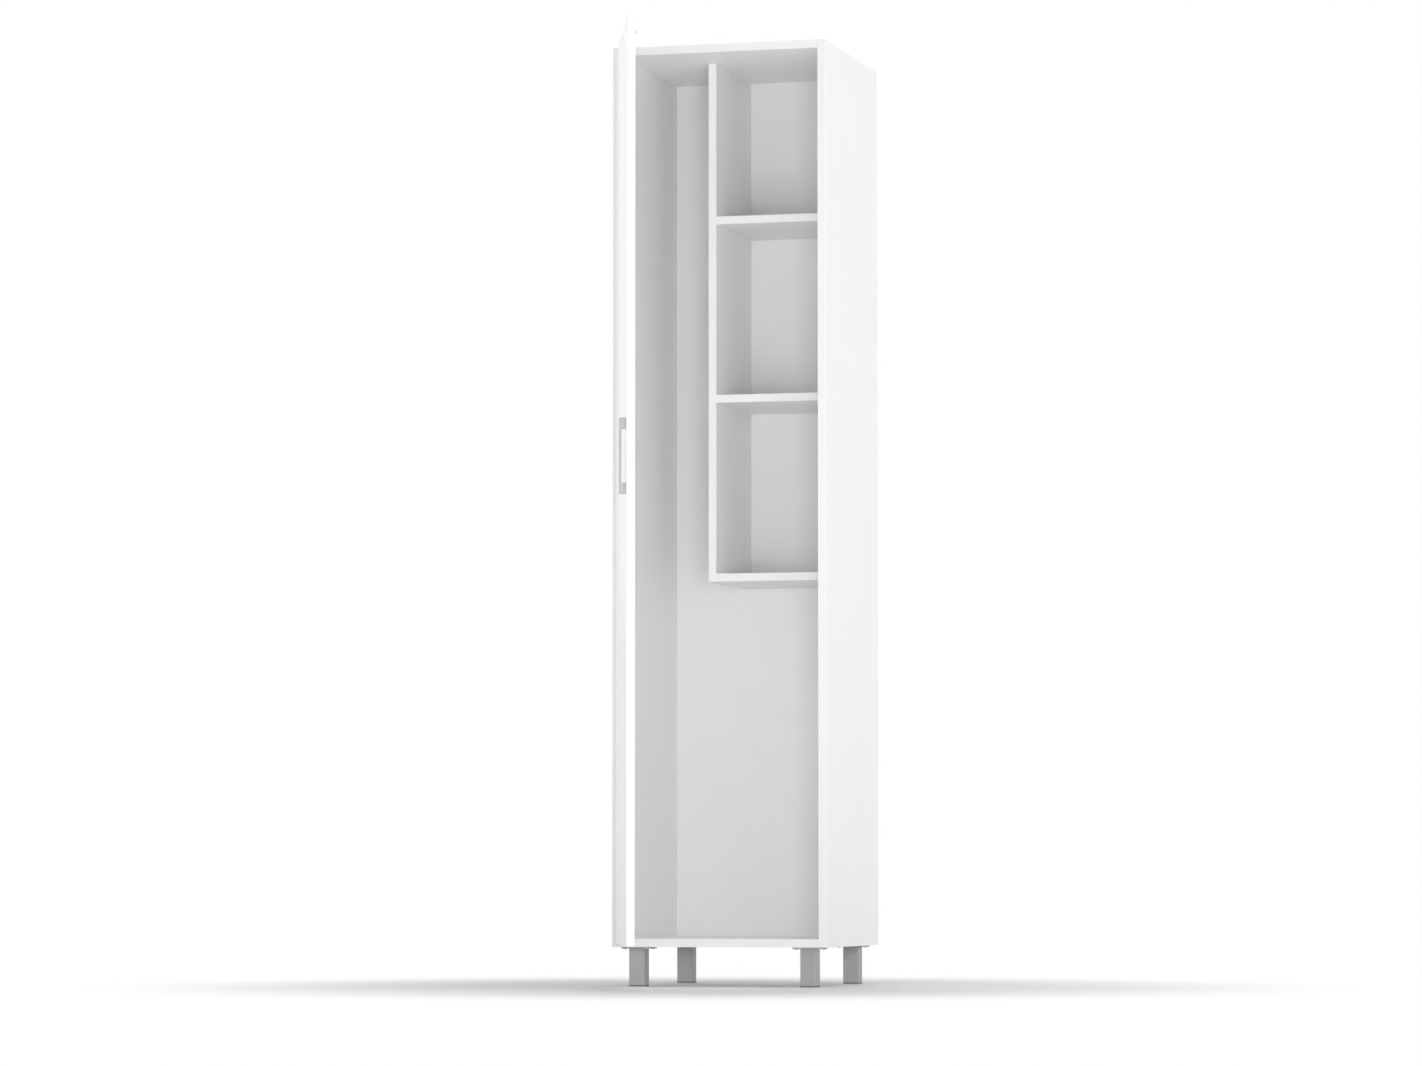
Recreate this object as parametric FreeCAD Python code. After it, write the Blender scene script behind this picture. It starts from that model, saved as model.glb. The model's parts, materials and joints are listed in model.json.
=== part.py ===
import FreeCAD, Part
import math
import os

V = FreeCAD.Vector
AXIS_X = V(1, 0, 0)
AXIS_Y = V(0, 1, 0)
AXIS_Z = V(0, 0, 1)

# Carcass
carcass_width = 430.0
carcass_depth = 432.0
total_height = 1840.0
leg_height = 77.0
board = 16.0
board_bevel = 0.8

# Back panel in its groove
back_thickness = 3.0
back_inset = 15.0
groove_depth = 5.0
groove_play = 0.1
end_play = 0.5

# Inner division
inner_set_back = 142.0
broom_bay_width = 140.0
upper_bay_clear = 305.0
middle_bay_clear = 339.0
lower_bay_clear = 338.0
inner_back_play = 0.4

# Door
door_reveal = 6.0
door_gap = 2.5
door_open_angle = 71.0

# Handle
handle_hole_spacing = 128.0
handle_end_length = 8.0
handle_foot_length = 21.0
handle_width = 11.0
handle_bar_thickness = 4.5
handle_projection = 12.5
handle_from_free_edge = 40.0
handle_centre_height = 1004.0
handle_round = 1.2
handle_screw_radius = 2.0
handle_screw_reach = 5.0
handle_head_radius = 4.2
handle_head_height = 2.4

# Legs
leg_side = 32.0
leg_wall = 2.0
leg_corner_round = 2.0
corner_steps = 2
leg_inset_side = 27.0
leg_inset_end = 26.0
leg_plate_side = 58.0
leg_plate_thickness = 3.0
leg_plate_round = 4.0
leg_cap_height = 3.0
leg_cap_plug = 9.0
leg_cap_play = 0.1
leg_screw_offset = 22.0
leg_screw_radius = 1.75
leg_screw_depth = 12.0
leg_screw_head_radius = 3.4
leg_screw_head_height = 1.8
leg_screw_head_sides = 6

# Cam fittings and dowels
cam_radius = 7.5
cam_depth = 12.5
cam_reach = 34.0
cam_from_edge = 88.0
cam_recess = 0.4
cam_slot_width = 1.4
cam_slot_depth = 1.6
bolt_thread_radius = 2.5
bolt_thread_depth = 10.5
bolt_shank_radius = 2.0
bolt_head_radius = 3.2
bolt_head_length = 3.0
bolt_bore_radius = 4.0
dowel_radius = 4.0
dowel_length = 30.0
dowel_in_side = 10.0
dowel_from_edge = 140.0
shelf_dowel_from_edge = 60.0
panel_screw_radius = 2.4
panel_screw_length = 50.0
panel_screw_head_radius = 4.8
panel_screw_head_height = 3.0
panel_screw_from_edge = 40.0
fit_play = 0.05
shank_sides = 6
head_sides = 8

# Concealed hinges, drawn with the door shut
hinge_count = 4
hinge_from_door_end = 100.0
cup_from_door_edge = 22.5
cup_radius = 17.4
cup_depth = 11.3
cup_wall = 1.1
cup_floor = 0.8
cup_play = 0.1
flange_thickness = 1.0
flange_rim = 1.8
flange_half_length = 31.0
flange_wing_width = 13.0
mouth_notch_half = 7.9
mouth_notch_deep = 3.2
cup_screw_offset = 6.0
cup_screw_half_spacing = 24.0
cup_screw_radius = 1.75
cup_screw_depth = 11.0
cup_screw_head_radius = 3.4
cup_screw_head_height = 1.3

# Pivots: arm pivots from the side panel, cup pivots from the door edge
rear_pivot_in = 26.0
rear_pivot_back = 5.1
nose_pivot_in = 20.5
nose_pivot_ahead = 9.0
link_pin_from_edge = 13.1
link_pin_deep = 1.5
guide_pin_from_edge = 16.1
guide_pin_deep = 5.0
guide_eye_shift_across = -0.2
guide_eye_shift_deep = 0.9
inner_link_ratio = 0.441
outer_link_ratio = 0.581
guide_pin_slack = 1.05

# Link and arm sheet levels, out from the middle of the hinge
inner_link_half = 2.0
sheet = 1.4
level_gap = 0.3
inner_link_bar_half = 1.6
inner_eye_radius = 2.7
outer_link_bar_half = 1.9
outer_eye_radius = 3.0
rear_pin_radius = 1.2
link_pin_radius = 1.1
guide_pin_radius = 1.0
pin_play = 0.06
pin_proud = 0.2
eye_sides = 8
pin_sides = 6
cup_sides = 16
lug_half = 2.2
nose_radius = 2.8
rear_eye_radius = 3.4
arm_back_end = 62.0
arm_body_low = 3.5
arm_body_high = 13.0
arm_shoulder_back = 26.0
arm_throat_back = 1.0

# Hinge mounting plate
plate_screw_back = 37.0
plate_screw_half_spacing = 16.0
plate_wing_half_length = 24.0
plate_wing_width = 16.0
plate_wing_thickness = 2.2
plate_rail_front = 22.0
plate_rail_back = 60.0
plate_screw_radius = 1.75
plate_screw_depth = 11.0
plate_screw_head_radius = 3.4
plate_screw_head_height = 1.8
adjuster_front = 29.0
adjuster_back = 52.0
adjuster_radius = 2.0
adjuster_head_radius = 3.4
adjuster_head_height = 1.6
adjuster_depth = 6.0

# Door bumpers
bumper_radius = 5.0
bumper_height = 2.2
bumper_tip_radius = 3.6
bumper_sides = 8
bumper_from_free_edge = 8.0
bumper_from_end = 30.0

# Derived positions
side_inner = board
right_inner = carcass_width - board
bottom_top = leg_height + board
top_under = total_height - board
upper_shelf_top = top_under - upper_bay_clear
middle_shelf_top = upper_shelf_top - board - middle_bay_clear
lower_shelf_top = middle_shelf_top - board - lower_bay_clear
back_face = carcass_depth - back_inset - back_thickness
partition_left = side_inner + broom_bay_width
partition_right = partition_left + board
inner_rear = back_face - inner_back_play
door_width = carcass_width - 2 * door_reveal
door_bottom = leg_height + door_reveal
door_top = total_height - door_reveal
door_inner = -door_gap
door_outer = -door_gap - board
door_free = door_reveal + door_width
cup_x = door_reveal + cup_from_door_edge
hinge_step = (door_top - door_bottom - 2 * hinge_from_door_end) / (hinge_count - 1)
hinge_heights = [door_bottom + hinge_from_door_end + n * hinge_step for n in range(hinge_count)]
rear_pivot = V(side_inner + rear_pivot_in, rear_pivot_back, 0)
nose_pivot = V(side_inner + nose_pivot_in, -nose_pivot_ahead, 0)
link_pin = V(door_reveal + link_pin_from_edge, door_inner - link_pin_deep, 0)
guide_pin = V(door_reveal + guide_pin_from_edge, door_inner - guide_pin_deep, 0)
guide_eye = guide_pin + V(guide_eye_shift_across, -guide_eye_shift_deep, 0)
lug_low = inner_link_half + level_gap
lug_high = lug_low + sheet
outer_low = lug_high + level_gap
outer_high = outer_low + sheet
cheek_low = outer_high + level_gap
cheek_high = cheek_low + sheet


def box(x0, x1, y0, y1, z0, z1):
    """Block between two opposite corners."""
    return Part.makeBox(x1 - x0, y1 - y0, z1 - z0, V(x0, y0, z0))


def ring(radius, sides, height=0.0):
    """Closed many-sided outline round the upright axis."""
    corners = []
    for step in range(sides + 1):
        angle = math.pi * (2 * step + 1) / sides
        corners.append(V(radius * math.cos(angle), radius * math.sin(angle), height))
    return Part.makePolygon(corners)


def rod(x, y, z, direction, radius, length, sides=shank_sides):
    """Many-sided rod from a start point along a direction."""
    body = Part.Face(ring(radius, sides)).extrude(V(0, 0, length))
    body.Placement = FreeCAD.Placement(V(x, y, z), FreeCAD.Rotation(AXIS_Z, direction))
    return body


def sheet_plate(points, z0, z1):
    """Flat plate with a plan outline, between two heights."""
    corners = [V(x, y, z0) for x, y in points]
    outline = Part.makePolygon(corners + corners[:1])
    return Part.Face(outline).extrude(V(0, 0, z1 - z0))


def near(value, target):
    """Tell whether two lengths are the same."""
    return abs(value - target) < 0.001


def edges_at_depth(shape, y):
    """Edges that lie in one upright plane across the cupboard."""
    edges = []
    for edge in shape.Edges:
        if all(near(vertex.Point.y, y) for vertex in edge.Vertexes):
            edges.append(edge)
    return edges


def eased(shape, y):
    """Board with a fine bevel round its face at one depth."""
    return shape.makeChamfer(board_bevel, edges_at_depth(shape, y))


def mirrored(shape, height):
    """The shape and its mirror image about a level plane."""
    return [shape, shape.mirror(V(0, 0, height), AXIS_Z)]


def bar_between(start, end, half_width, z0, z1):
    """Straight flat bar from one pivot to another."""
    along = (end - start).normalize()
    across = V(-along.y, along.x, 0) * half_width
    points = []
    for corner in (start + across, end + across, end - across, start - across):
        points.append((corner.x, corner.y))
    return sheet_plate(points, z0, z1)


def upright(point, radius, z0, z1, sides=eye_sides):
    """Eye or pin standing on a plan point."""
    return rod(point.x, point.y, z0, AXIS_Z, radius, z1 - z0, sides)


def turning_hole(point, radius, z0, z1):
    """Hole whose flats all clear a pin of the given radius that turns in it."""
    return upright(point, radius / math.cos(math.pi / eye_sides), z0, z1)


def pin_between(point, radius, z0, z1):
    """Pin, or the tight hole that holds one."""
    return upright(point, radius, z0, z1, pin_sides)


def screw(x, y, z, direction, radius, length, head_radius, head_height, sides=head_sides):
    """Screw whose head sits on the start point and whose shank runs along the direction."""
    shank = rod(x, y, z, direction, radius, length)
    head = rod(x, y, z, direction * -1.0, head_radius, head_height, sides)
    return shank.fuse(head).removeSplitter()


def sunk_screw(x, y, z, direction, radius, length, head_radius, head_height):
    """Sunk screw whose flat head fills a counterbore and ends on the start point."""
    shank = rod(x, y, z, direction, radius, length)
    head = rod(x, y, z, direction, head_radius, head_height)
    return shank.fuse(head).removeSplitter()


def drilled(shape, cutters):
    """Shape with every cutter taken out."""
    if not cutters:
        return shape
    return shape.cut(cutters)


nodes = {}
cuts = {}


def drill(panel, cutter):
    """Note a hole for a panel."""
    cuts.setdefault(panel, []).append(cutter)


def group(name, shapes):
    """Store separate solids as one node."""
    nodes[name] = Part.makeCompound(shapes)


# Panels before drilling
left_side = box(0, board, 0, carcass_depth, leg_height, total_height)
left_side = eased(left_side, 0)
right_side = box(right_inner, carcass_width, 0, carcass_depth, leg_height, total_height)
right_side = eased(right_side, 0)
top = box(side_inner, right_inner, 0, carcass_depth, top_under, total_height)
bottom = box(side_inner, right_inner, 0, carcass_depth, leg_height, bottom_top)
groove_front = back_face - groove_play
groove_back = back_face + back_thickness + groove_play
groove_low = bottom_top - groove_depth
groove_high = top_under + groove_depth
groove = box(
    side_inner - groove_depth, right_inner + groove_depth, groove_front, groove_back, groove_low, groove_high
)
for panel in ("left_side_panel", "right_side_panel", "top_panel", "bottom_panel"):
    drill(panel, groove)
nodes["back_panel"] = box(
    side_inner - groove_depth + end_play,
    right_inner + groove_depth - end_play,
    back_face,
    back_face + back_thickness,
    groove_low + end_play,
    groove_high - end_play,
)


def front_eased(x0, x1, y0, y1, z0, z1):
    """Board with its front edge eased."""
    return eased(box(x0, x1, y0, y1, z0, z1), y0)


partition = front_eased(
    partition_left, partition_right, inner_set_back, inner_rear, lower_shelf_top - board, top_under
)
shelf_tops = {
    "upper_shelf": upper_shelf_top,
    "middle_shelf": middle_shelf_top,
    "lower_shelf": lower_shelf_top,
}
shelves = {}
for name, height in shelf_tops.items():
    shelves[name] = front_eased(
        partition_right, right_inner, inner_set_back, inner_rear, height - board, height
    )

# Cam fittings and dowels between the sides and the top and bottom
cams = []
bolts = []
dowels = []
corner_panels = {
    "top_panel": (total_height - board / 2, total_height, -1.0),
    "bottom_panel": (leg_height + board / 2, leg_height, 1.0),
}
side_ends = {
    "left_side_panel": (side_inner, 1.0),
    "right_side_panel": (right_inner, -1.0),
}
for panel, (middle, face, into) in corner_panels.items():
    for side, (end, inward) in side_ends.items():
        along = AXIS_X * inward
        for y in (cam_from_edge, carcass_depth - cam_from_edge):
            cam_x = end + inward * cam_reach
            drill(panel, rod(cam_x, y, face, AXIS_Z * into, cam_radius, cam_depth, head_sides))
            drill(panel, rod(end, y, middle, along, bolt_bore_radius, cam_reach))
            start = end - inward * bolt_thread_depth
            drill(side, rod(start, y, middle, along, bolt_thread_radius + fit_play, bolt_thread_depth))
            thread = rod(start, y, middle, along, bolt_thread_radius, bolt_thread_depth)
            shank = rod(end, y, middle, along, bolt_shank_radius, cam_reach)
            head_start = cam_x - inward * bolt_head_length
            head = rod(head_start, y, middle, along, bolt_head_radius, bolt_head_length)
            bolts.append(thread.fuse([shank, head]).removeSplitter())
            cam_face = face + into * cam_recess
            cam_height = cam_depth - cam_recess
            body = rod(cam_x, y, cam_face, AXIS_Z * into, cam_radius - fit_play, cam_height, head_sides)
            pocket = rod(cam_x, y, middle, along * -1.0, bolt_bore_radius, cam_radius)
            pocket = pocket.fuse(rod(cam_x, y, middle, along, bolt_bore_radius, fit_play))
            slot_low = min(face, face + into * (cam_recess + cam_slot_depth))
            slot_high = max(face, face + into * (cam_recess + cam_slot_depth))
            slot_half = cam_slot_width / 2
            slot = box(
                cam_x - cam_radius, cam_x + cam_radius, y - slot_half, y + slot_half, slot_low, slot_high
            )
            cams.append(body.cut([pocket, slot]))
        for y in (dowel_from_edge, carcass_depth - dowel_from_edge):
            start = end - inward * dowel_in_side
            dowels.append(rod(start, y, middle, along, dowel_radius, dowel_length))
            hole = rod(start, y, middle, along, dowel_radius + fit_play, dowel_length)
            drill(side, hole)
            drill(panel, hole)

# Shelf dowels into the right side, screws through the partition and the top
panel_screws = []
for name, height in shelf_tops.items():
    middle = height - board / 2
    for y in (inner_set_back + shelf_dowel_from_edge, inner_rear - shelf_dowel_from_edge):
        start = right_inner + dowel_in_side
        dowels.append(rod(start, y, middle, AXIS_X * -1.0, dowel_radius, dowel_length))
        hole = rod(start, y, middle, AXIS_X * -1.0, dowel_radius + fit_play, dowel_length)
        drill("right_side_panel", hole)
        drill(name, hole)
    for y in (inner_set_back + panel_screw_from_edge, inner_rear - panel_screw_from_edge):
        panel_screws.append(sunk_screw(
            partition_left, y, middle, AXIS_X,
            panel_screw_radius, panel_screw_length, panel_screw_head_radius, panel_screw_head_height,
        ))
        hole = rod(partition_left, y, middle, AXIS_X, panel_screw_radius + fit_play, panel_screw_length)
        drill("partition", hole)
        drill(name, hole)
        drill("partition", rod(
            partition_left, y, middle, AXIS_X, panel_screw_head_radius + fit_play, panel_screw_head_height
        ))
partition_middle = (partition_left + partition_right) / 2
for y in (inner_set_back + panel_screw_from_edge, inner_rear - panel_screw_from_edge):
    down = AXIS_Z * -1.0
    panel_screws.append(sunk_screw(
        partition_middle, y, total_height, down,
        panel_screw_radius, panel_screw_length, panel_screw_head_radius, panel_screw_head_height,
    ))
    hole = rod(partition_middle, y, total_height, down, panel_screw_radius + fit_play, panel_screw_length)
    drill("top_panel", hole)
    drill("partition", hole)
    drill("top_panel", rod(
        partition_middle, y, total_height, down, panel_screw_head_radius + fit_play, panel_screw_head_height
    ))
group("cam_locks", cams)
group("cam_bolts", bolts)
group("dowels", dowels)
group("panel_screws", panel_screws)

# Legs with plates, end caps and screws
leg_half = leg_side / 2
leg_centres = {
    "front_left": (leg_inset_side + leg_half, leg_inset_end + leg_half),
    "front_right": (carcass_width - leg_inset_side - leg_half, leg_inset_end + leg_half),
    "back_left": (leg_inset_side + leg_half, carcass_depth - leg_inset_end - leg_half),
    "back_right": (carcass_width - leg_inset_side - leg_half, carcass_depth - leg_inset_end - leg_half),
}
leg_top = leg_height - leg_plate_thickness
leg_caps = []
leg_screws = []


def square_post(x, y, half, z0, z1, corner):
    """Square post with rounded upright edges."""
    points = []
    reach = (half - corner) * math.sqrt(2)
    quarter = math.pi / 2
    for turn in range(4):
        diagonal = (turn + 0.5) * quarter
        for step in range(corner_steps + 1):
            angle = (turn + step / corner_steps) * quarter
            points.append((
                x + reach * math.cos(diagonal) + corner * math.cos(angle),
                y + reach * math.sin(diagonal) + corner * math.sin(angle),
            ))
    return sheet_plate(points, z0, z1)


for place, (x, y) in leg_centres.items():
    tube = square_post(x, y, leg_half, leg_cap_height, leg_top, leg_corner_round)
    bore_half = leg_half - leg_wall
    tube = tube.cut(box(x - bore_half, x + bore_half, y - bore_half, y + bore_half, leg_cap_height, leg_top))
    nodes["leg_" + place] = tube
    cap = square_post(x, y, leg_half, 0, leg_cap_height, leg_corner_round)
    plug_half = bore_half - leg_cap_play
    plug_top = leg_cap_height + leg_cap_plug
    plug = box(x - plug_half, x + plug_half, y - plug_half, y + plug_half, leg_cap_height, plug_top)
    leg_caps.append(cap.fuse(plug))
    plate = square_post(x, y, leg_plate_side / 2, leg_top, leg_height, leg_plate_round)
    plate_holes = []
    for dx in (-leg_screw_offset, leg_screw_offset):
        for dy in (-leg_screw_offset, leg_screw_offset):
            leg_screws.append(screw(
                x + dx, y + dy, leg_top, AXIS_Z,
                leg_screw_radius, leg_plate_thickness + leg_screw_depth,
                leg_screw_head_radius, leg_screw_head_height, leg_screw_head_sides,
            ))
            hole = rod(
                x + dx, y + dy, leg_top, AXIS_Z,
                leg_screw_radius + fit_play, leg_plate_thickness + leg_screw_depth,
            )
            plate_holes.append(hole)
            drill("bottom_panel", hole)
    nodes["leg_plate_" + place] = plate.cut(plate_holes)
group("leg_caps", leg_caps)
group("leg_screws", leg_screws)

# Door panel, handle and bumpers with the door shut
door = box(door_reveal, door_free, door_outer, door_inner, door_bottom, door_top)
door = eased(eased(door, door_outer), door_inner)
handle_x = door_free - handle_from_free_edge
handle_front = door_outer - handle_projection
handle_half_width = handle_width / 2
handle_half_length = handle_hole_spacing / 2 + handle_end_length
handle_bar = box(
    handle_x - handle_half_width, handle_x + handle_half_width,
    handle_front, handle_front + handle_bar_thickness,
    handle_centre_height - handle_half_length, handle_centre_height + handle_half_length,
)
handle_feet = []
handle_holes = []
handle_screws = []
for end in (-1.0, 1.0):
    z = handle_centre_height + end * handle_hole_spacing / 2
    foot_outside = handle_centre_height + end * handle_half_length
    foot_inside = foot_outside - end * handle_foot_length
    handle_feet.append(box(
        handle_x - handle_half_width, handle_x + handle_half_width, handle_front, door_outer,
        min(foot_outside, foot_inside), max(foot_outside, foot_inside),
    ))
    reach = board + handle_screw_reach
    hole = rod(handle_x, door_inner, z, AXIS_Y * -1.0, handle_screw_radius + fit_play, reach)
    handle_holes.append(hole)
    drill("door_panel", hole)
    handle_screws.append(screw(
        handle_x, door_inner, z, AXIS_Y * -1.0,
        handle_screw_radius, reach, handle_head_radius, handle_head_height,
    ))
handle = handle_bar.fuse(handle_feet).removeSplitter()
handle = handle.makeFillet(handle_round, edges_at_depth(handle, handle_front))
handle = handle.cut(handle_holes)
bumpers = []
for z in (door_bottom + bumper_from_end, door_top - bumper_from_end):
    pad_x = door_free - bumper_from_free_edge
    base = ring(bumper_radius, bumper_sides)
    tip = ring(bumper_tip_radius, bumper_sides, bumper_height)
    pad = Part.makeLoft([base, tip], True, True)
    pad.Placement = FreeCAD.Placement(V(pad_x, door_inner, z), FreeCAD.Rotation(AXIS_Z, AXIS_Y))
    bumpers.append(pad)

# Rest pose of the two links and of the door
inner_turn = inner_link_ratio * door_open_angle
outer_turn = outer_link_ratio * door_open_angle


def turned_point(point, pivot, degrees):
    """Plan point turned about a pivot."""
    angle = math.radians(degrees)
    dx = point.x - pivot.x
    dy = point.y - pivot.y
    x = pivot.x + dx * math.cos(angle) - dy * math.sin(angle)
    y = pivot.y + dx * math.sin(angle) + dy * math.cos(angle)
    return V(x, y, 0)


link_pin_at_rest = turned_point(link_pin, rear_pivot, inner_turn)


def swing_door(shape):
    """Move a door piece from shut to its open rest pose."""
    moved = shape.copy()
    moved.rotate(link_pin, AXIS_Z, -door_open_angle)
    moved.translate(link_pin_at_rest - link_pin)
    return moved


def swing_inner(shape):
    """Turn an inner link to its rest pose."""
    moved = shape.copy()
    moved.rotate(rear_pivot, AXIS_Z, inner_turn)
    return moved


def swing_outer(shape):
    """Turn an outer link to its rest pose."""
    moved = shape.copy()
    moved.rotate(nose_pivot, AXIS_Z, outer_turn)
    return moved


# Hinges
def make_inner_link(z):
    """Middle link from the rear arm pivot to the cup."""
    low = z - inner_link_half
    high = z + inner_link_half
    body = bar_between(rear_pivot, link_pin, inner_link_bar_half, low, high)
    body = body.fuse([
        upright(rear_pivot, inner_eye_radius, low, high),
        upright(link_pin, inner_eye_radius, low, high),
    ]).removeSplitter()
    return body.cut([
        turning_hole(rear_pivot, rear_pin_radius + pin_play, low, high),
        turning_hole(link_pin, link_pin_radius + pin_play, low, high),
    ])


def make_outer_link(z):
    """Pair of side plates from the arm nose to the cup, with a roomy eye at the cup."""
    low = z + outer_low
    high = z + outer_high
    body = bar_between(nose_pivot, guide_eye, outer_link_bar_half, low, high)
    body = body.fuse([
        upright(nose_pivot, outer_eye_radius, low, high),
        upright(guide_eye, outer_eye_radius, low, high),
    ]).removeSplitter()
    body = body.cut([
        turning_hole(nose_pivot, link_pin_radius + pin_play, low, high),
        turning_hole(guide_eye, guide_pin_radius + guide_pin_slack, low, high),
    ])
    return Part.makeCompound(mirrored(body, z))


arm_low = side_inner + arm_body_low
arm_high = side_inner + arm_body_high
arm_throat = nose_pivot.x - nose_radius
arm_outline = [
    (arm_throat, nose_pivot.y),
    (nose_pivot.x + nose_radius, nose_pivot.y),
    (rear_pivot.x + rear_eye_radius, rear_pivot.y),
    (arm_high, arm_shoulder_back),
    (arm_high, arm_back_end),
    (arm_low, arm_back_end),
    (arm_low, (arm_throat_back + arm_shoulder_back) / 2),
    (arm_throat, arm_throat_back),
]
web_outline = [
    (arm_high, adjuster_front - adjuster_head_radius * 2),
    (arm_high, arm_back_end),
    (arm_high - sheet, arm_back_end),
    (arm_high - sheet, adjuster_front - adjuster_head_radius * 2),
]


def make_arm(z):
    """Channel arm: two cheeks with the pivots, joined by a web over the plate."""
    cheek = sheet_plate(arm_outline, z + cheek_low, z + cheek_high)
    cheek = cheek.fuse([
        upright(nose_pivot, nose_radius, z + cheek_low, z + cheek_high),
        upright(rear_pivot, rear_eye_radius, z + cheek_low, z + cheek_high),
    ]).removeSplitter()
    cheek = cheek.cut([
        pin_between(nose_pivot, link_pin_radius + fit_play, z + cheek_low, z + cheek_high),
        pin_between(rear_pivot, rear_pin_radius + fit_play, z + cheek_low, z + cheek_high),
    ])
    web = sheet_plate(web_outline, z - cheek_high, z + cheek_high)
    arm = web.fuse(mirrored(cheek, z)).removeSplitter()
    holes = []
    for y in (adjuster_front, adjuster_back):
        holes.append(rod(arm_high, y, z, AXIS_X * -1.0, adjuster_radius + fit_play, sheet))
    return arm.cut(holes)


def make_plate(z):
    """Winged mounting plate with the rail that the arm slides over."""
    wing = box(
        side_inner, side_inner + plate_wing_thickness,
        plate_screw_back - plate_wing_width / 2, plate_screw_back + plate_wing_width / 2,
        z - plate_wing_half_length, z + plate_wing_half_length,
    )
    rail_half = cheek_low - level_gap
    rail = box(
        side_inner, arm_high - sheet, plate_rail_front, plate_rail_back, z - rail_half, z + rail_half
    )
    plate = wing.fuse(rail).removeSplitter()
    holes = []
    for end in (-plate_screw_half_spacing, plate_screw_half_spacing):
        holes.append(rod(
            side_inner, plate_screw_back, z + end, AXIS_X, plate_screw_radius + fit_play, plate_wing_thickness
        ))
    for y in (adjuster_front, adjuster_back):
        holes.append(rod(
            arm_high - sheet, y, z, AXIS_X * -1.0, adjuster_radius + fit_play, adjuster_depth
        ))
    return plate.cut(holes)


def make_lug(pin, radius, z0, z1):
    """Upright ear on the cup floor that carries a pin."""
    floor = door_inner - cup_depth
    ear = box(pin.x - lug_half, pin.x + lug_half, floor, pin.y, z0, z1)
    ear = ear.fuse(upright(pin, lug_half, z0, z1)).removeSplitter()
    return ear.cut(pin_between(pin, radius + fit_play, z0, z1))


def make_cup(z):
    """Cup with its screw flange and the ears for both pins."""
    into = AXIS_Y * -1.0
    flange_top = door_inner + flange_thickness
    shell = rod(cup_x, door_inner, z, into, cup_radius, cup_depth, cup_sides)
    rim = rod(cup_x, flange_top, z, into, cup_radius + flange_rim, flange_thickness, cup_sides)
    wing_x = cup_x + cup_screw_offset
    wing = box(
        wing_x - flange_wing_width / 2, wing_x + flange_wing_width / 2, door_inner, flange_top,
        z - flange_half_length, z + flange_half_length,
    )
    body = shell.fuse([rim, wing]).removeSplitter()
    hollow = rod(
        cup_x, flange_top, z, into, cup_radius - cup_wall, flange_thickness + cup_depth - cup_floor, cup_sides
    )
    body = body.cut(hollow)
    notch = box(
        door_reveal, cup_x - cup_radius / 2, door_inner - mouth_notch_deep, flange_top,
        z - mouth_notch_half, z + mouth_notch_half,
    )
    body = body.cut(notch)
    ears = []
    ears += mirrored(make_lug(link_pin, link_pin_radius, z + lug_low, z + lug_high), z)
    ears += mirrored(make_lug(guide_pin, guide_pin_radius, z + cheek_low, z + cheek_high), z)
    body = body.fuse(ears).removeSplitter()
    holes = []
    for end in (-cup_screw_half_spacing, cup_screw_half_spacing):
        holes.append(rod(wing_x, flange_top, z + end, into, cup_screw_radius + fit_play, flange_thickness))
    return body.cut(holes)


arm_pins = []
cup_pins = []
plate_screws = []
cup_screws = []
adjusters = []
for index, z in enumerate(hinge_heights):
    label = str(index + 1)
    nodes["hinge_plate_" + label] = make_plate(z)
    nodes["hinge_arm_" + label] = make_arm(z)
    nodes["hinge_cup_" + label] = swing_door(make_cup(z))
    nodes["hinge_inner_link_" + label] = swing_inner(make_inner_link(z))
    nodes["hinge_outer_link_" + label] = swing_outer(make_outer_link(z))
    pin_end = cheek_high + pin_proud
    arm_pins.append(pin_between(rear_pivot, rear_pin_radius, z - pin_end, z + pin_end))
    stub_start = z + outer_low - pin_proud
    arm_pins += mirrored(pin_between(nose_pivot, link_pin_radius, stub_start, z + pin_end), z)
    cup_pins.append(swing_door(pin_between(link_pin, link_pin_radius, z - lug_high, z + lug_high)))
    for stub in mirrored(pin_between(guide_pin, guide_pin_radius, stub_start, z + cheek_high), z):
        cup_pins.append(swing_door(stub))
    for end in (-plate_screw_half_spacing, plate_screw_half_spacing):
        plate_screws.append(screw(
            side_inner + plate_wing_thickness, plate_screw_back, z + end, AXIS_X * -1.0,
            plate_screw_radius, plate_wing_thickness + plate_screw_depth,
            plate_screw_head_radius, plate_screw_head_height,
        ))
        drill("left_side_panel", rod(
            side_inner, plate_screw_back, z + end, AXIS_X * -1.0,
            plate_screw_radius + fit_play, plate_screw_depth,
        ))
    for y in (adjuster_front, adjuster_back):
        adjusters.append(screw(
            arm_high, y, z, AXIS_X * -1.0,
            adjuster_radius, sheet + adjuster_depth, adjuster_head_radius, adjuster_head_height,
        ))
    drill("door_panel", rod(
        cup_x, door_inner, z, AXIS_Y * -1.0, cup_radius + cup_play, cup_depth + cup_play, cup_sides
    ))
    wing_x = cup_x + cup_screw_offset
    for end in (-cup_screw_half_spacing, cup_screw_half_spacing):
        cup_screws.append(swing_door(screw(
            wing_x, door_inner + flange_thickness, z + end, AXIS_Y * -1.0,
            cup_screw_radius, flange_thickness + cup_screw_depth,
            cup_screw_head_radius, cup_screw_head_height,
        )))
        drill("door_panel", rod(
            wing_x, door_inner, z + end, AXIS_Y * -1.0, cup_screw_radius + fit_play, cup_screw_depth
        ))
group("hinge_arm_pins", arm_pins)
group("hinge_cup_pins", cup_pins)
group("hinge_plate_screws", plate_screws)
group("hinge_cup_screws", cup_screws)
group("hinge_adjusters", adjusters)

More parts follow.
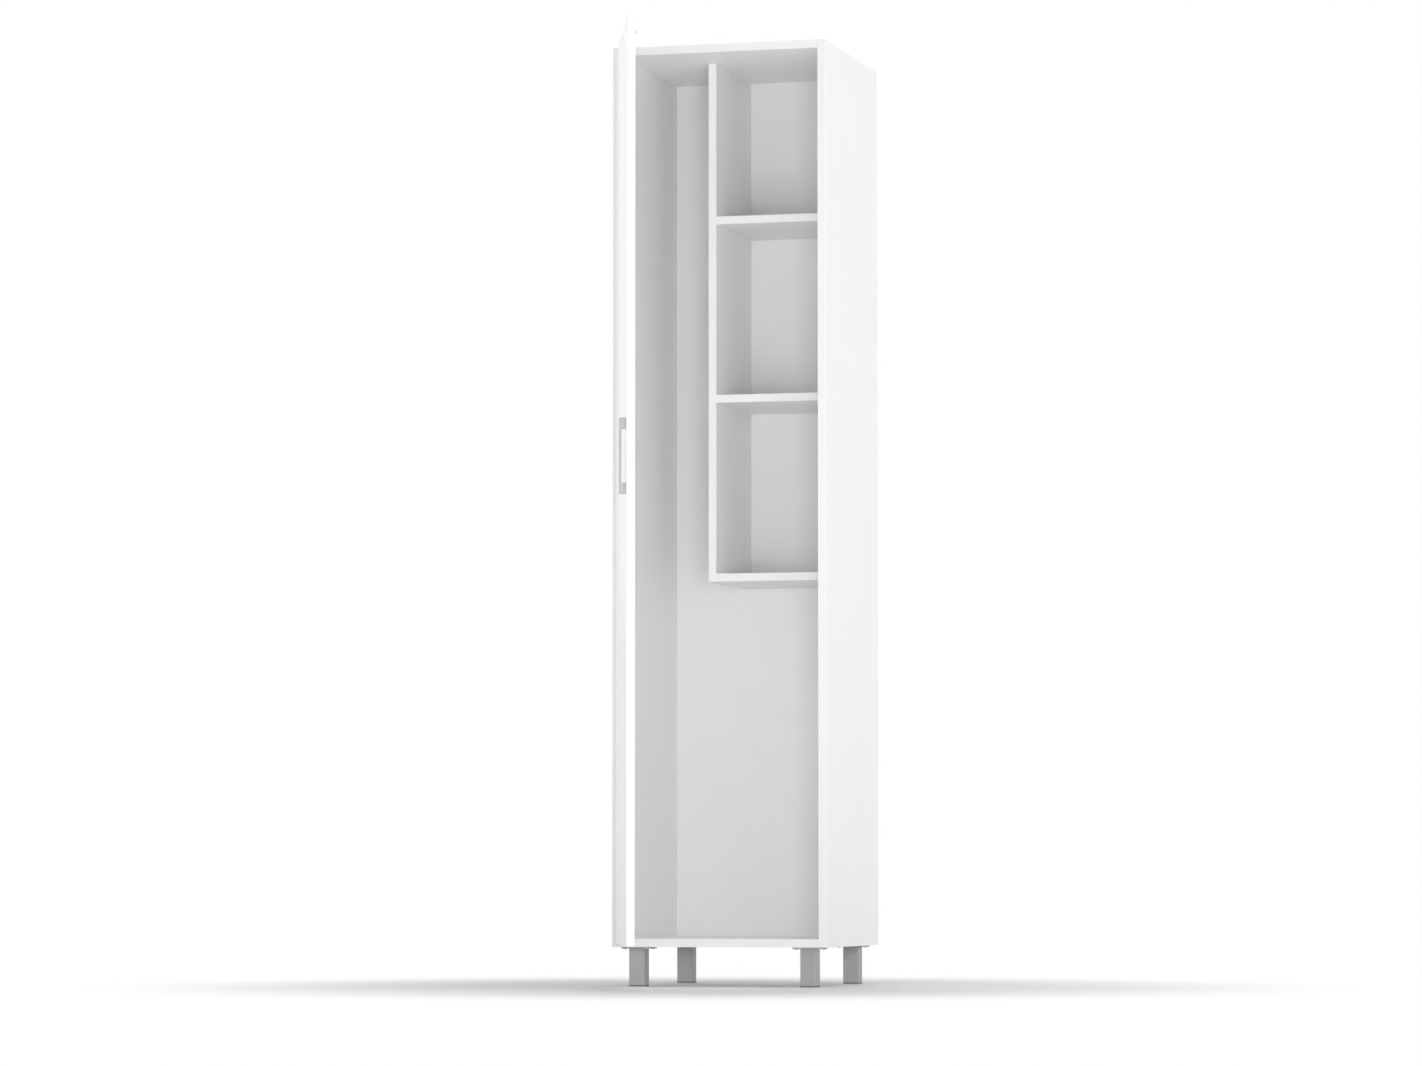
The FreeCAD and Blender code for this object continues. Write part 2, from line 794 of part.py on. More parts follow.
# Drilled panels
nodes["left_side_panel"] = drilled(left_side, cuts["left_side_panel"])
nodes["right_side_panel"] = drilled(right_side, cuts["right_side_panel"])
nodes["top_panel"] = drilled(top, cuts["top_panel"])
nodes["bottom_panel"] = drilled(bottom, cuts["bottom_panel"])
nodes["partition"] = drilled(partition, cuts["partition"])
for name, shelf in shelves.items():
    nodes[name] = drilled(shelf, cuts[name])
nodes["door_panel"] = swing_door(drilled(door, cuts["door_panel"]))
nodes["door_handle"] = swing_door(handle)
group("handle_screws", [swing_door(piece) for piece in handle_screws])
group("door_bumpers", [swing_door(piece) for piece in bumpers])

# Origin under the middle of the whole outline, door open
door_tip = swing_door(Part.Vertex(V(door_free, door_outer, 0))).Point
middle_x = carcass_width / 2
middle_y = (carcass_depth + door_tip.y) / 2

os.makedirs("parts", exist_ok=True)
for name, shape in nodes.items():
    placed = shape.copy()
    placed.translate(V(-middle_x, -middle_y, 0))
    placed.exportStep("parts/" + name + ".step")
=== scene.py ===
import json
import logging
import math
from abc import ABC, abstractmethod
from dataclasses import dataclass, field
from enum import Enum
from functools import cache

import bmesh
import bpy
from mathutils import Matrix, Vector
from mathutils.kdtree import KDTree

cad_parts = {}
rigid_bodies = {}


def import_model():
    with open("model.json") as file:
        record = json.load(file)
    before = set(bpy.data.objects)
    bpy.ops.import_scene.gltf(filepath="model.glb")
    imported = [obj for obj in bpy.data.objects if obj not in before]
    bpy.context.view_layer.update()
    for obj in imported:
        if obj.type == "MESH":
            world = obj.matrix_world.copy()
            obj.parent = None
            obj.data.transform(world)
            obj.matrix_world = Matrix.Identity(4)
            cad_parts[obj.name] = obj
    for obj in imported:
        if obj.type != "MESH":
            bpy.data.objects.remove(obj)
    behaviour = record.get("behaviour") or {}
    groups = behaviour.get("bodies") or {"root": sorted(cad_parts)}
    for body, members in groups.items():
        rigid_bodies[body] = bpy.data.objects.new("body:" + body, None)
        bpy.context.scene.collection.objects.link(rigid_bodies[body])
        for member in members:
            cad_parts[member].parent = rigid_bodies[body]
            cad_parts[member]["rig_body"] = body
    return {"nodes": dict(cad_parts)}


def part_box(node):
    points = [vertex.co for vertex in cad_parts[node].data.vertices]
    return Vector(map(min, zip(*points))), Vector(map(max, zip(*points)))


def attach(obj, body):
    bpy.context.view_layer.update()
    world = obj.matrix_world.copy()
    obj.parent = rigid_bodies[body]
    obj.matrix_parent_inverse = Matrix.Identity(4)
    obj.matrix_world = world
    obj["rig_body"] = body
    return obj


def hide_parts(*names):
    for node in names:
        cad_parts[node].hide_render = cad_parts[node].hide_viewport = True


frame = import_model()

LOG = logging.getLogger("broom_cupboard")
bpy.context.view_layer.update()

Triple = tuple[float, float, float]
Colour = Triple
Place = Triple
Socket = bpy.types.NodeSocket

MM = 0.001
WHITE: Colour = (0.94, 0.94, 0.935)
FULL_WHITE = (1.0, 1.0, 1.0, 1.0)

# Sockets of Blender's Mix node when it mixes colours
MIX_FACTOR, MIX_FIRST, MIX_SECOND, MIX_RESULT = 0, 6, 7, 2

# Limits for reading rounds and flats in the CAD meshes, in metres and radians
MERGE_DISTANCE = 1e-6
LENGTH_MATCH = 2e-5
POINT_MATCH = 1e-5
FLAT_ANGLE = math.radians(0.5)
CREASE_ANGLE = math.radians(15.0)
SHARP_ANGLE = math.radians(30.0)
SMOOTH_ANGLE = math.radians(50.0)
TURN_MATCH = math.radians(0.6)
SAME_WAY = 0.999
QUAD = 4

# Cuts in each chord of a round, by the number of its sides
ARC_CUTS: dict[int, int] = {6: 5, 8: 3, 16: 3}

CROSS_ARMS = 4
CROSS_HALF = 0.22
HEXAGON_CORNERS = 6
CROWN_STEPS = 3
RECESS_TAPER = 0.75


class Axis(Enum):
    """Axis of the object that a grain, brush mark or seam follows."""

    X = 0
    Y = 1
    Z = 2


class Test(Enum):
    """Comparison of a value with a number, under the name of its Math node operation."""

    CLOSE_TO = "COMPARE"
    ABOVE = "GREATER_THAN"


class Recess(Enum):
    """Driver recess in a screw head."""

    CROSS = "cross"
    HEXAGON = "hexagon"

    def outline(self, reach: float) -> list[Vector]:
        """Corners of the recess, in order round it.

        Args:
            reach: Distance from the middle to the end of an arm or to a corner.

        Returns:
            Plan points.
        """
        if self is Recess.HEXAGON:
            corner, turns = [Vector((reach, 0.0))], HEXAGON_CORNERS
        else:
            half = CROSS_HALF * reach
            corner = [Vector((half, half)), Vector((half, reach)), Vector((-half, reach))]
            turns = CROSS_ARMS
        return [
            Matrix.Rotation(math.tau * turn / turns, 2) @ point
            for turn in range(turns)
            for point in corner
        ]


@dataclass(frozen=True)
class Cloud:
    """Cells per metre and number of finer layers of a cloudy noise."""

    scale: float
    detail: float


@dataclass(frozen=True)
class Relief:
    """Strength of a fine relief and its depth in metres."""

    strength: float
    depth: float


@dataclass(frozen=True)
class Span:
    """Low and high end of a range."""

    low: float
    high: float


NOISE_SPREAD = Span(0.3, 0.7)


class NodeTree:
    """Lays the shader nodes of one material and links them."""

    def __init__(self, name: str) -> None:
        """Start a material with its output, main shader and object coordinates.

        Args:
            name: Name of the material.
        """
        self.material = bpy.data.materials.new(name)
        self.material.use_nodes = True
        self.nodes = self.material.node_tree.nodes
        self.links = self.material.node_tree.links
        self.shader = self.nodes["Principled BSDF"]
        self.place = self.nodes.new("ShaderNodeTexCoord").outputs["Object"]

    def mapped(self, scale: Triple = (1.0, 1.0, 1.0), turn: float = 0.0) -> Socket:
        """Object coordinates stretched along each axis and turned about the upright.

        Args:
            scale: Factor along x, y and z.
            turn: Angle about z in radians.

        Returns:
            The new coordinates.
        """
        node = self.nodes.new("ShaderNodeMapping")
        node.inputs["Scale"].default_value = scale
        node.inputs["Rotation"].default_value = (0.0, 0.0, turn)
        self.links.new(self.place, node.inputs["Vector"])
        return node.outputs["Vector"]

    def noise(self, cloud: Cloud, vector: Socket | None = None) -> Socket:
        """Cloudy noise.

        Args:
            cloud: Size and detail of the noise.
            vector: Coordinates to use instead of the plain ones.

        Returns:
            The noise value.
        """
        node = self.nodes.new("ShaderNodeTexNoise")
        node.inputs["Scale"].default_value = cloud.scale
        node.inputs["Detail"].default_value = cloud.detail
        self.links.new(vector or self.place, node.inputs["Vector"])
        return node.outputs["Fac"]

    def flakes(self, scale: float) -> Socket:
        """Random value for each cell, as in pressed chips.

        Args:
            scale: Cells per metre.

        Returns:
            Colour with one value for each cell.
        """
        node = self.nodes.new("ShaderNodeTexVoronoi")
        node.inputs["Scale"].default_value = scale
        self.links.new(self.place, node.inputs["Vector"])
        return node.outputs["Color"]

    def ramp(self, value: Socket, low: Colour, high: Colour, spread: Span = NOISE_SPREAD) -> Socket:
        """Colours between two ends.

        Args:
            value: Position on the ramp.
            low: Colour at the start.
            high: Colour at the end.
            spread: Positions of the two colours.

        Returns:
            The ramp colour.
        """
        node = self.nodes.new("ShaderNodeValToRGB")
        first, second = node.color_ramp.elements
        first.position, second.position = spread.low, spread.high
        first.color, second.color = (*low, 1.0), (*high, 1.0)
        self.links.new(value, node.inputs["Fac"])
        return node.outputs["Color"]

    def between(self, value: Socket, ends: Span) -> Socket:
        """Noise value spread over a range of numbers.

        Args:
            value: Noise value.
            ends: Numbers at the low and the high end.

        Returns:
            The number.
        """
        node = self.nodes.new("ShaderNodeMapRange")
        node.inputs["From Min"].default_value = NOISE_SPREAD.low
        node.inputs["From Max"].default_value = NOISE_SPREAD.high
        node.inputs["To Min"].default_value = ends.low
        node.inputs["To Max"].default_value = ends.high
        self.links.new(value, node.inputs["Value"])
        return node.outputs["Result"]

    def mask(self, test: Test, value: Socket, limit: float, margin: float = 0.0) -> Socket:
        """Mask from one value and a number.

        Args:
            test: Comparison to make.
            value: Value to test.
            limit: Number to test it against.
            margin: Difference that still counts as close.

        Returns:
            1 where the test holds, else 0.
        """
        node = self.nodes.new("ShaderNodeMath")
        node.operation = test.value
        first, second, third = node.inputs
        self.links.new(value, first)
        second.default_value = limit
        third.default_value = margin
        return node.outputs["Value"]

    def along(self, axis: Axis, vector: Socket | None = None) -> Socket:
        """One coordinate by itself.

        Args:
            axis: Coordinate to take.
            vector: Coordinates to use instead of the plain ones.

        Returns:
            The coordinate.
        """
        node = self.nodes.new("ShaderNodeSeparateXYZ")
        self.links.new(vector or self.place, node.inputs["Vector"])
        return node.outputs[axis.value]

    def choose(self, mask: Socket, low: Socket, high: Socket) -> Socket:
        """Colour that switches with a mask.

        Args:
            mask: 0 for the first colour, 1 for the second.
            low: First colour.
            high: Second colour.

        Returns:
            The chosen colour.
        """
        node = self.nodes.new("ShaderNodeMix")
        node.data_type = "RGBA"
        self.links.new(mask, node.inputs[MIX_FACTOR])
        self.links.new(low, node.inputs[MIX_FIRST])
        self.links.new(high, node.inputs[MIX_SECOND])
        return node.outputs[MIX_RESULT]

    def bump(self, height: Socket, relief: Relief) -> None:
        """Surface relief on the main shader.

        Args:
            height: Height value.
            relief: Strength and depth.
        """
        node = self.nodes.new("ShaderNodeBump")
        node.inputs["Strength"].default_value = relief.strength
        node.inputs["Distance"].default_value = relief.depth
        self.links.new(height, node.inputs["Height"])
        self.links.new(node.outputs["Normal"], self.shader.inputs["Normal"])

    def paint(self, colour: Socket, roughness: Socket) -> None:
        """Base colour and roughness of the main shader."""
        self.links.new(colour, self.shader.inputs["Base Color"])
        self.links.new(roughness, self.shader.inputs["Roughness"])

    def fade_to_white(self, fade: Span) -> None:
        """Let the surface pass into plain white away from the origin.

        Args:
            fade: Distances in metres where the fade begins and where only white is left.
        """
        length = self.nodes.new("ShaderNodeVectorMath")
        length.operation = "LENGTH"
        self.links.new(self.place, length.inputs[0])
        reach = self.nodes.new("ShaderNodeMapRange")
        reach.interpolation_type = "SMOOTHSTEP"
        reach.inputs["From Min"].default_value = fade.low
        reach.inputs["From Max"].default_value = fade.high
        self.links.new(length.outputs["Value"], reach.inputs["Value"])
        white = self.nodes.new("ShaderNodeEmission")
        mix = self.nodes.new("ShaderNodeMixShader")
        self.links.new(reach.outputs["Result"], mix.inputs["Fac"])
        self.links.new(self.shader.outputs["BSDF"], mix.inputs[1])
        self.links.new(white.outputs["Emission"], mix.inputs[2])
        self.links.new(mix.outputs["Shader"], self.nodes["Material Output"].inputs["Surface"])


def shade(colour: Colour, factor: float) -> Colour:
    """Colour made darker or lighter by a factor."""
    red, green, blue = (min(1.0, part * factor) for part in colour)
    return red, green, blue


@dataclass(frozen=True)
class Seam:
    """Hairline where the edge lipping meets the board's face."""

    axis: Axis
    place: float


@dataclass(frozen=True)
class Melamine:
    """White melamine board with lipped edges, and raw chips on an edge with no lipping."""

    name: str
    seams: tuple[Seam, ...] = ()
    turn: float = 0.0
    raw_beyond_y: float | None = None
    tint: Colour = WHITE
    mottle: Cloud = Cloud(6.0, 3.0)
    mottle_tone: float = 0.985
    seam_half: float = 0.06 * MM
    seam_shade: Cloud = Cloud(90.0, 2.0)
    seam_tone: Span = Span(0.62, 0.72)
    chip_scale: float = 420.0
    chip_low: Colour = (0.2, 0.12, 0.055)
    chip_high: Colour = (0.46, 0.31, 0.17)
    chip_spread: Span = Span(0.1, 0.9)
    sheen: Cloud = Cloud(60.0, 2.0)
    rough: Span = Span(0.36, 0.46)
    pores: Cloud = Cloud(1400.0, 2.0)
    relief: Relief = Relief(0.12, 0.2 * MM)

    def make(self) -> bpy.types.Material:
        """Build the material.

        Returns:
            The material.
        """
        tree = NodeTree(self.name)
        paper = tree.ramp(tree.noise(self.mottle), shade(self.tint, self.mottle_tone), self.tint)
        dark, pale = shade(self.tint, self.seam_tone.low), shade(self.tint, self.seam_tone.high)
        line = tree.ramp(tree.noise(self.seam_shade), dark, pale)
        turned = tree.mapped(turn=self.turn)
        for seam in self.seams:
            across = tree.along(seam.axis, turned)
            on_seam = tree.mask(Test.CLOSE_TO, across, seam.place, self.seam_half)
            paper = tree.choose(on_seam, paper, line)
        if self.raw_beyond_y is not None:
            flakes = tree.flakes(self.chip_scale)
            chips = tree.ramp(flakes, self.chip_low, self.chip_high, self.chip_spread)
            raw = tree.mask(Test.ABOVE, tree.along(Axis.Y), self.raw_beyond_y)
            paper = tree.choose(raw, paper, chips)
        tree.paint(paper, tree.between(tree.noise(self.sheen), self.rough))
        tree.bump(tree.noise(self.pores), self.relief)
        return tree.material


@dataclass(frozen=True)
class Hardboard:
    """Thin hardboard, lacquered white in front and raw brown behind."""

    name: str
    raw_beyond_y: float
    tint: Colour = WHITE
    mottle: Cloud = Cloud(9.0, 3.0)
    mottle_tone: float = 0.98
    fibres: Cloud = Cloud(700.0, 6.0)
    fibre_low: Colour = (0.12, 0.065, 0.03)
    fibre_high: Colour = (0.25, 0.15, 0.075)
    sheen: Cloud = Cloud(90.0, 2.0)
    rough: Span = Span(0.46, 0.6)
    relief: Relief = Relief(0.1, 0.3 * MM)

    def make(self) -> bpy.types.Material:
        """Build the material.

        Returns:
            The material.
        """
        tree = NodeTree(self.name)
        fibres = tree.noise(self.fibres)
        lacquer = tree.ramp(tree.noise(self.mottle), shade(self.tint, self.mottle_tone), self.tint)
        raw = tree.ramp(fibres, self.fibre_low, self.fibre_high)
        behind = tree.mask(Test.ABOVE, tree.along(Axis.Y), self.raw_beyond_y)
        tree.paint(tree.choose(behind, lacquer, raw), tree.between(tree.noise(self.sheen), self.rough))
        tree.bump(fibres, self.relief)
        return tree.material


@dataclass(frozen=True)
class Metal:
    """Bare, plated or lacquered metal with brush marks along one axis."""

    name: str
    tint: Colour
    rough: Span
    along: Axis
    metallic: float = 1.0
    marks: Cloud = Cloud(900.0, 3.0)
    mark_stretch: float = 0.02
    mark_tone: float = 0.88
    relief: Relief = Relief(0.06, 0.1 * MM)

    def make(self) -> bpy.types.Material:
        """Build the material.

        Returns:
            The material.
        """
        tree = NodeTree(self.name)
        tree.shader.inputs["Metallic"].default_value = self.metallic
        x, y, z = (self.mark_stretch if axis is self.along else 1.0 for axis in Axis)
        brushed = tree.noise(self.marks, tree.mapped((x, y, z)))
        colour = tree.ramp(brushed, shade(self.tint, self.mark_tone), self.tint)
        tree.paint(colour, tree.between(brushed, self.rough))
        tree.bump(brushed, self.relief)
        return tree.material


@dataclass(frozen=True)
class Coat:
    """Powder coat, moulded plastic or rubber with a fine pebbled skin."""

    name: str
    tint: Colour
    rough: Span
    pebbles: Cloud = Cloud(900.0, 2.0)
    mottle: Cloud = Cloud(14.0, 4.0)
    mottle_tone: float = 0.93
    relief: Relief = Relief(0.25, 0.2 * MM)

    def make(self) -> bpy.types.Material:
        """Build the material.

        Returns:
            The material.
        """
        tree = NodeTree(self.name)
        skin = tree.noise(self.pebbles)
        colour = tree.ramp(tree.noise(self.mottle), shade(self.tint, self.mottle_tone), self.tint)
        tree.paint(colour, tree.between(skin, self.rough))
        tree.bump(skin, self.relief)
        return tree.material


@dataclass(frozen=True)
class Beech:
    """Raw beech with grain along the dowel."""

    name: str
    tint: Colour = (0.52, 0.34, 0.18)
    grain: Cloud = Cloud(500.0, 4.0)
    grain_stretch: Triple = (0.05, 1.0, 1.0)
    grain_tone: float = 0.75
    rough: Span = Span(0.6, 0.75)
    relief: Relief = Relief(0.15, 0.2 * MM)

    def make(self) -> bpy.types.Material:
        """Build the material.

        Returns:
            The material.
        """
        tree = NodeTree(self.name)
        grain = tree.noise(self.grain, tree.mapped(self.grain_stretch))
        colour = tree.ramp(grain, shade(self.tint, self.grain_tone), self.tint)
        tree.paint(colour, tree.between(grain, self.rough))
        tree.bump(grain, self.relief)
        return tree.material


@dataclass(frozen=True)
class FloorPaper:
    """Pale matt paper that turns plain white away from the origin."""

    name: str
    tint: Colour
    fade: Span
    mottle: Cloud = Cloud(3.0, 2.0)
    mottle_tone: float = 0.99
    sheen: Cloud = Cloud(40.0, 2.0)
    rough: Span = Span(0.85, 0.95)

    def make(self) -> bpy.types.Material:
        """Build the material.

        Returns:
            The material.
        """
        tree = NodeTree(self.name)
        paper = tree.ramp(tree.noise(self.mottle), shade(self.tint, self.mottle_tone), self.tint)
        tree.paint(paper, tree.between(tree.noise(self.sheen), self.rough))
        tree.shader.inputs["Specular IOR Level"].default_value = 0.0
        tree.fade_to_white(self.fade)
        return tree.material


Finish = Melamine | Hardboard | Metal | Coat | Beech | FloorPaper


@cache
def material_of(finish: Finish) -> bpy.types.Material:
    """Material of a finish, made once."""
    return finish.make()


def is_folded(edge: bmesh.types.BMEdge, angle: float) -> bool:
    """Whether the two faces at an edge turn by more than an angle in radians."""
    return len(edge.link_faces) == 2 and edge.calc_face_angle() > angle


@dataclass(frozen=True)
class Chord:
    """Straight stretch of a many-sided round, with the centre of its arc."""

    edge: bmesh.types.BMEdge
    sides: int
    centre: Vector

    def points(self) -> list[tuple[Vector, Vector]]:
        """Even points along the chord, each with its point on the arc.

        Returns:
            Pairs of chord point and arc point.
        """
        start, end = (vert.co for vert in self.edge.verts)
        radius = (start - self.centre).length
        parts = ARC_CUTS[self.sides] + 1
        flats = [start.lerp(end, step / parts) for step in range(1, parts)]
        return [(flat, self.centre + (flat - self.centre).normalized() * radius) for flat in flats]


@dataclass(frozen=True)
class Head:
    """Crowned screw head with a driver recess, whose reach is a share of the head's radius."""

    recess: Recess
    crown: float
    reach: float
    depth: float


class SmoothCopy:
    """Copy of one CAD node whose many-sided rounds become smooth."""

    def __init__(self, node: str) -> None:
        """Merge the loose triangles of the node into whole faces and round them off.

        Args:
            node: Name of the CAD node.
        """
        self.node = node
        self.bm = bmesh.new()
        self.bm.from_mesh(frame["nodes"][node].data)
        bmesh.ops.remove_doubles(self.bm, verts=self.bm.verts, dist=MERGE_DISTANCE)
        self.merge_flats()
        self.round_off()
        self.merge_flats()

    def merge_flats(self) -> None:
        """Join the faces that lie in one plane."""
        self.bm.normal_update()
        bmesh.ops.dissolve_limit(
            self.bm, angle_limit=FLAT_ANGLE, verts=self.bm.verts, edges=self.bm.edges,
        )

    def chord_at(self, edge: bmesh.types.BMEdge) -> Chord | None:
        """Find the round that an edge belongs to.

        Args:
            edge: Edge to test.

        Returns:
            The chord, or nothing where the edge belongs to no round.
        """
        if not is_folded(edge, CREASE_ANGLE):
            return None
        length = edge.calc_length()
        for corner in edge.verts:
            start = edge.other_vert(corner)
            run = (corner.co - start.co).normalized()
            for other in corner.link_edges:
                even = abs(other.calc_length() - length) < LENGTH_MATCH
                if other is edge or not even or not is_folded(other, CREASE_ANGLE):
                    continue
                onward = other.other_vert(corner).co - corner.co
                turn = run.angle(onward)
                for sides in ARC_CUTS:
                    if abs(turn - math.tau / sides) < TURN_MATCH:
                        inward = (onward - run * onward.dot(run)).normalized()
                        depth = length / (2 * math.tan(math.pi / sides))
                        return Chord(edge, sides, (corner.co + start.co) / 2 + inward * depth)
        return None

    def round_off(self) -> None:
        """Cut every chord and push the new points out to its arc."""
        chords = [chord for chord in map(self.chord_at, self.bm.edges) if chord]
        pairs = [pair for chord in chords for pair in chord.points()]
        tree = KDTree(len(pairs))
        for index, (flat, _) in enumerate(pairs):
            tree.insert(flat, index)
        tree.balance()
        wide = [face for face in self.bm.faces if len(face.verts) > QUAD]
        bmesh.ops.triangulate(self.bm, faces=wide)
        old = set(self.bm.verts)
        for sides, cuts in ARC_CUTS.items():
            edges = [chord.edge for chord in chords if chord.sides == sides]
            bmesh.ops.subdivide_edges(self.bm, edges=edges, cuts=cuts, use_grid_fill=True)
        for vert in self.bm.verts:
            if vert not in old:
                _, index, gap = tree.find(vert.co)
                if gap < POINT_MATCH:
                    vert.co = pairs[index][1]

    def soften(self, width: float, segments: int = 2) -> "SmoothCopy":
        """Round the sharp edges a little.

        Args:
            width: Width of the rounding in metres.
            segments: Steps across the rounding.

        Returns:
            The same copy.
        """
        sharp = [edge for edge in self.bm.edges if is_folded(edge, SHARP_ANGLE)]
        self.bm.normal_update()
        bmesh.ops.bevel(
            self.bm, geom=sharp, offset=width, offset_type="OFFSET", segments=segments, profile=0.5,
            affect="EDGES", clamp_overlap=True, material=-1,
        )
        return self

    def islands(self) -> list[list[bmesh.types.BMFace]]:
        """Faces of each separate solid.

        Returns:
            One list of faces for each solid.
        """
        seen: set[bmesh.types.BMFace] = set()
        found: list[list[bmesh.types.BMFace]] = []
        for first in self.bm.faces:
            if first in seen:
                continue
            seen.add(first)
            island = [first]
            for face in island:
                for near in (other for edge in face.edges for other in edge.link_faces):
                    if near not in seen:
                        seen.add(near)
                        island.append(near)
            found.append(island)
        return found

    def drive(self, head: Head) -> "SmoothCopy":
        """Crown each screw head and sink its driver recess.

        Args:
            head: Shape of the heads.

        Returns:
            The same copy.
        """
        for island in self.islands():
            cap = max(island, key=lambda face: face.calc_area())
            normal, middle = cap.normal.copy(), cap.calc_center_median()
            radius = max((vert.co - middle).length for vert in cap.verts)
            bmesh.ops.bevel(
                self.bm, geom=list(cap.edges), offset=head.crown, offset_type="OFFSET",
                segments=CROWN_STEPS, profile=0.5, affect="EDGES", clamp_overlap=True, material=-1,
            )
            self.bm.normal_update()
            level = [face for face in self.bm.faces if face.normal.dot(normal) > SAME_WAY]
            top = min(level, key=lambda face: (face.calc_center_median() - middle).length)
            self.sink(top, head.recess.outline(radius * head.reach), head.depth)
        return self

    def sink(self, top: bmesh.types.BMFace, outline: list[Vector], depth: float) -> None:
        """Sink one recess into the flat top of a head.

        Args:
            top: Face to open.
            outline: Plan points of the recess about the middle of the face.
            depth: Depth of the recess in metres.
        """
        middle, normal = top.calc_center_median(), top.normal.copy()
        across = normal.orthogonal().normalized()
        beside = normal.cross(across)
        rim = list(top.verts)
        bmesh.ops.delete(self.bm, geom=[top], context="FACES_ONLY")
        corners = [self.bm.verts.new(middle + across * x + beside * y) for x, y in outline]
        low = [self.bm.verts.new(middle.lerp(vert.co, RECESS_TAPER) - normal * depth) for vert in corners]
        nearest = [
            min(range(len(rim)), key=lambda place: (rim[place].co - middle).angle(corner.co - middle))
            for corner in corners
        ]
        for place, corner in enumerate(corners):
            first = nearest[place - 1]
            steps = (nearest[place] - first) % len(rim)
            arc = [rim[(first + step) % len(rim)] for step in range(steps + 1)]
            self.bm.faces.new((*arc, corner, corners[place - 1]))
            self.bm.faces.new((corners[place - 1], corner, low[place], low[place - 1]))
        self.bm.faces.new(low)

    def face_outward(self) -> None:
        """Turn the faces of each solid so that they look outward."""
        self.bm.normal_update()
        bmesh.ops.recalc_face_normals(self.bm, faces=self.bm.faces)
        for island in self.islands():
            start = island[0].calc_center_median()
            swell = sum(
                face.calc_area() * face.normal.dot(face.calc_center_median() - start) for face in island
            )
            if swell < 0.0:
                bmesh.ops.reverse_faces(self.bm, faces=island)

    def order_faces(self) -> None:
        """Sort the faces by their points, since the operators leave them in no fixed order."""
        self.bm.verts.index_update()
        ordered = sorted(self.bm.faces, key=lambda face: [vert.index for vert in face.verts])
        ranks = {face: rank for rank, face in enumerate(ordered)}
        self.bm.faces.sort(key=lambda face: ranks[face])

    def finish(self) -> bpy.types.Object:
        """Put the copy in the scene in place of its CAD node.

        Returns:
            The finished piece.
        """
        self.face_outward()
        self.order_faces()
        loose = sum(len(edge.link_faces) != 2 for edge in self.bm.edges)
        mesh = bpy.data.meshes.new(self.node + "_smooth")
        self.bm.to_mesh(mesh)
        self.bm.free()
        mesh.shade_smooth()
        mesh.set_sharp_from_angle(angle=SMOOTH_ANGLE)
        piece = bpy.data.objects.new(self.node + "_smooth", mesh)
        bpy.context.scene.collection.objects.link(piece)
        piece.modifiers.new("even_shading", "WEIGHTED_NORMAL").keep_sharp = True
        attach(piece, frame["nodes"][self.node]["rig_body"])
        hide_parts(self.node)
        if loose:
            LOG.warning("%s has %d open edges", piece.name, loose)
        return piece


@dataclass
class SubAssembly(ABC):
    """Pieces that are shaped and dressed together."""

    pieces: dict[str, bpy.types.Object] = field(default_factory=dict, init=False)

    @abstractmethod
    def build(self) -> None:
        """Shape the pieces."""

    @abstractmethod
    def dress(self) -> None:
        """Give each piece its finish."""

    def keep(self, *nodes: str) -> None:
        """Leave CAD nodes in their own shape."""
        for node in nodes:
            self.pieces[node] = frame["nodes"][node]

    def place(self, copy: SmoothCopy) -> None:
        """Put a smooth copy in its node's place."""
        self.pieces[copy.node] = copy.finish()

    def wear(self, finish: Finish, *nodes: str) -> None:
        """Give pieces a finish.

        Args:
            finish: Finish to use.
            nodes: Names of the CAD nodes that the pieces are or stand for.
        """
        for node in nodes:
            slots = self.pieces[node].data.materials
            slots.clear()
            slots.append(material_of(finish))


@dataclass
class Carcass(SubAssembly):
    """Boards of the fixed case and the thin back."""

    outer: tuple[str, ...] = ("left_side_panel", "right_side_panel", "top_panel", "bottom_panel")
    inner: tuple[str, ...] = ("partition", "upper_shelf", "middle_shelf", "lower_shelf")
    bored: tuple[str, ...] = ("top_panel", "bottom_panel", "partition")
    lipping: float = 1.1 * MM
    rear_skin: float = 0.3 * MM

    def build(self) -> None:
        """Smooth the bored boards and keep the plain ones."""
        self.keep("back_panel")
        for node in self.outer + self.inner:
            if node in self.bored:
                self.place(SmoothCopy(node))
            else:
                self.keep(node)

    def dress(self) -> None:
        """Give the boards melamine and the back hardboard."""
        outer_low, outer_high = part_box("left_side_panel")
        inner_low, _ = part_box("partition")
        outer_seam = Seam(Axis.Y, outer_low.y + self.lipping)
        inner_seam = Seam(Axis.Y, inner_low.y + self.lipping)
        rear = outer_high.y - self.rear_skin
        self.wear(Melamine("white_melamine_case", (outer_seam,), raw_beyond_y=rear), *self.outer)
        self.wear(Melamine("white_melamine_inside", (inner_seam,)), *self.inner)
        front, back = (corner.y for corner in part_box("back_panel"))
        self.wear(Hardboard("back_hardboard", (front + back) / 2), "back_panel")


